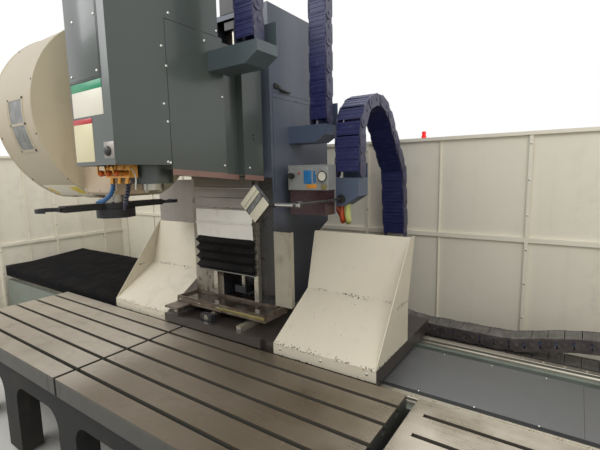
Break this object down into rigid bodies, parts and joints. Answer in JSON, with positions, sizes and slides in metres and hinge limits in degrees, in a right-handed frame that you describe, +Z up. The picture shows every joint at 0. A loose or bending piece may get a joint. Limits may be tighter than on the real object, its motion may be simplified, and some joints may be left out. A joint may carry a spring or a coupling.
{
  "type": "moving-column vertical machining center",
  "caption": "Long-bed vertical machining center: fixed T-slot tables, a column that travels behind them, a spindle head, a drum tool magazine with a change arm, and sheet walls.",
  "frame": {"origin": "middle of the footprint on the floor", "axes": "+X along the tables, to the right of a person at the front; +Y from the front to the back wall; +Z up"},
  "size_m": [8.22, 2.92, 3.997],
  "materials": {
    "table_steel": "worn machined iron with T slots",
    "dark_casting": "dark painted casting, chipped",
    "foot_steel": "dark levelling feet",
    "bed_green": "grey-green painted casting",
    "rail_steel": "ground hardened rail with oil film",
    "sheet_steel": "scuffed cover sheet",
    "bellows_black": "black pleated cover",
    "chain_black": "black-brown plastic chain",
    "chain_blue": "blue-black plastic chain",
    "wall_white": "off-white sheet",
    "frame_grey": "grey frame tubes",
    "signal_red": "red lens",
    "casting_grey": "grey-violet painted casting",
    "saddle_brown": "oily brown-grey casting",
    "guard_cream": "cream paint with chips",
    "motor_black": "black motor housing",
    "carriage_steel": "roller blocks",
    "tray_brown": "oil-stained tray",
    "wing_steel": "plain steel sheet",
    "filler_cream": "cream paint",
    "oiler_silver": "grey-silver housing",
    "tank_plastic": "cloudy purple-red plastic",
    "rod_chrome": "bright rod",
    "lamp_cream": "cream lens in a dark border",
    "bracket_grey": "blue-grey paint",
    "head_green": "grey-green satin paint",
    "cover_steel": "brushed steel steps and a plain card",
    "spindle_steel": "ground spindle nose",
    "button_green": "green ring with a black centre",
    "valve_brass": "brass and orange valves",
    "hose_blue": "blue and black ball hoses",
    "cam_cream": "pinkish cream paint",
    "arm_black": "blackened steel",
    "drum_cream": "cream paint",
    "pot_black": "dark tool pots"
  },
  "bodies": {
    "base": {"table_stand": "dark_casting", "table_left": "table_steel", "table_center": "table_steel", "table_right": "table_steel", "leveling_feet": "foot_steel", "x_bed": "bed_green", "x_rails": "rail_steel", "x_rack": "rail_steel", "way_cover_sheet": "sheet_steel", "x_way_bellows": "bellows_black", "cable_trough": "sheet_steel", "x_drag_chain": "chain_black", "wall_frame": "frame_grey", "back_wall": "wall_white", "side_walls": "wall_white", "alarm_lamp": "signal_red"},
    "saddle": {"saddle": "saddle_brown", "x_carriages": "carriage_steel", "y_rails": "rail_steel", "guard_left": "guard_cream", "guard_right": "guard_cream", "x_gearbox": "motor_black", "y_chain_post": "bracket_grey", "y_bearings": "motor_black"},
    "pinion": {"x_pinion": "rail_steel"},
    "y_screw": {"y_ball_screw": "rail_steel"},
    "column": {"column": "casting_grey", "y_carriages": "carriage_steel", "z_rails": "rail_steel", "z_bearings": "motor_black", "drip_tray": "tray_brown", "steel_wing": "wing_steel", "filler_panel": "filler_cream", "lubricator": "oiler_silver", "oil_tank": "tank_plastic", "lamp_rod": "rod_chrome", "column_chain_bracket": "bracket_grey", "y_chain_bracket": "bracket_grey", "y_drag_chain": "chain_blue", "z_drag_chain": "chain_blue", "cam_box": "cam_cream", "tool_drum": "drum_cream"},
    "z_screw": {"z_ball_screw": "rail_steel"},
    "lamp": {"work_lamp": "lamp_cream"},
    "head": {"head_casting": "head_green", "head_hoods": "head_green", "z_carriages": "carriage_steel", "z_way_cover": "cover_steel", "z_bellows": "bellows_black", "head_chain_bracket": "bracket_grey", "spindle_motor": "motor_black", "coolant_valves": "valve_brass", "coolant_nozzles": "hose_blue"},
    "spindle": {"spindle": "spindle_steel"},
    "button": {"unclamp_button": "button_green"},
    "arm_lift": {"arm_sleeve": "arm_black"},
    "arm": {"change_arm": "arm_black"},
    "magazine": {"pot_disc": "bracket_grey", "tool_pots": "pot_black"},
    "pot": {"tipping_pot": "pot_black"}
  },
  "joints": [
    {"name": "x_slide", "type": "slide", "parent": "base", "child": "saddle", "axis": [1, 0, 0], "range_m": [-1.4, 2.1], "deforming": ["x_way_bellows", "x_drag_chain"]},
    {"name": "pinion_spin", "type": "hinge", "parent": "saddle", "child": "pinion", "pos_m": [-0.76, 0.411, 0.9], "axis": [0, 0, 1], "continuous": true},
    {"name": "y_slide", "type": "slide", "parent": "saddle", "child": "column", "axis": [0, 1, 0], "range_m": [-0.5, 0.25], "deforming": ["y_drag_chain"]},
    {"name": "y_screw_spin", "type": "hinge", "parent": "saddle", "child": "y_screw", "pos_m": [-0.015, 0.3, 1], "axis": [0, 1, 0], "continuous": true},
    {"name": "z_slide", "type": "slide", "parent": "column", "child": "head", "axis": [0, 0, 1], "range_m": [-0.74, 0.15], "deforming": ["z_way_cover", "z_bellows", "z_drag_chain"]},
    {"name": "z_screw_spin", "type": "hinge", "parent": "column", "child": "z_screw", "pos_m": [0.05, 0.025, 2.2], "axis": [0, 0, 1], "continuous": true},
    {"name": "lamp_swivel", "type": "hinge", "parent": "column", "child": "lamp", "pos_m": [0.672, -0.392, 1.94], "axis": [1, 0, 0], "range_deg": [-60, 60]},
    {"name": "spindle_spin", "type": "hinge", "parent": "head", "child": "spindle", "pos_m": [0.2, -0.938, 2.06], "axis": [0, 0, 1], "continuous": true},
    {"name": "button_press", "type": "slide", "parent": "head", "child": "button", "axis": [0, 1, 0], "range_m": [0, 0.008], "stiffness_N_per_m": 300, "springref_m": -0.002},
    {"name": "arm_lift_slide", "type": "slide", "parent": "column", "child": "arm_lift", "axis": [0, 0, 1], "range_m": [-0.11, 0]},
    {"name": "arm_swing", "type": "hinge", "parent": "arm_lift", "child": "arm", "pos_m": [-0.235, -0.938, 1.95], "axis": [0, 0, 1], "range_deg": [0, 270]},
    {"name": "magazine_turn", "type": "hinge", "parent": "column", "child": "magazine", "pos_m": [-0.7, -0.73, 2.584], "axis": [1, 0, 0], "continuous": true},
    {"name": "pot_tilt", "type": "hinge", "parent": "magazine", "child": "pot", "pos_m": [-0.67, -0.938, 2.17373], "axis": [0, -1, 0], "range_deg": [-90, 0]}
  ],
  "couplings": [
    {"joint": "pinion_spin", "follows": "x_slide", "rad_per_m": -18.519},
    {"joint": "y_screw_spin", "follows": "y_slide", "rad_per_m": 314.16},
    {"joint": "z_screw_spin", "follows": "z_slide", "rad_per_m": 314.16}
  ]
}
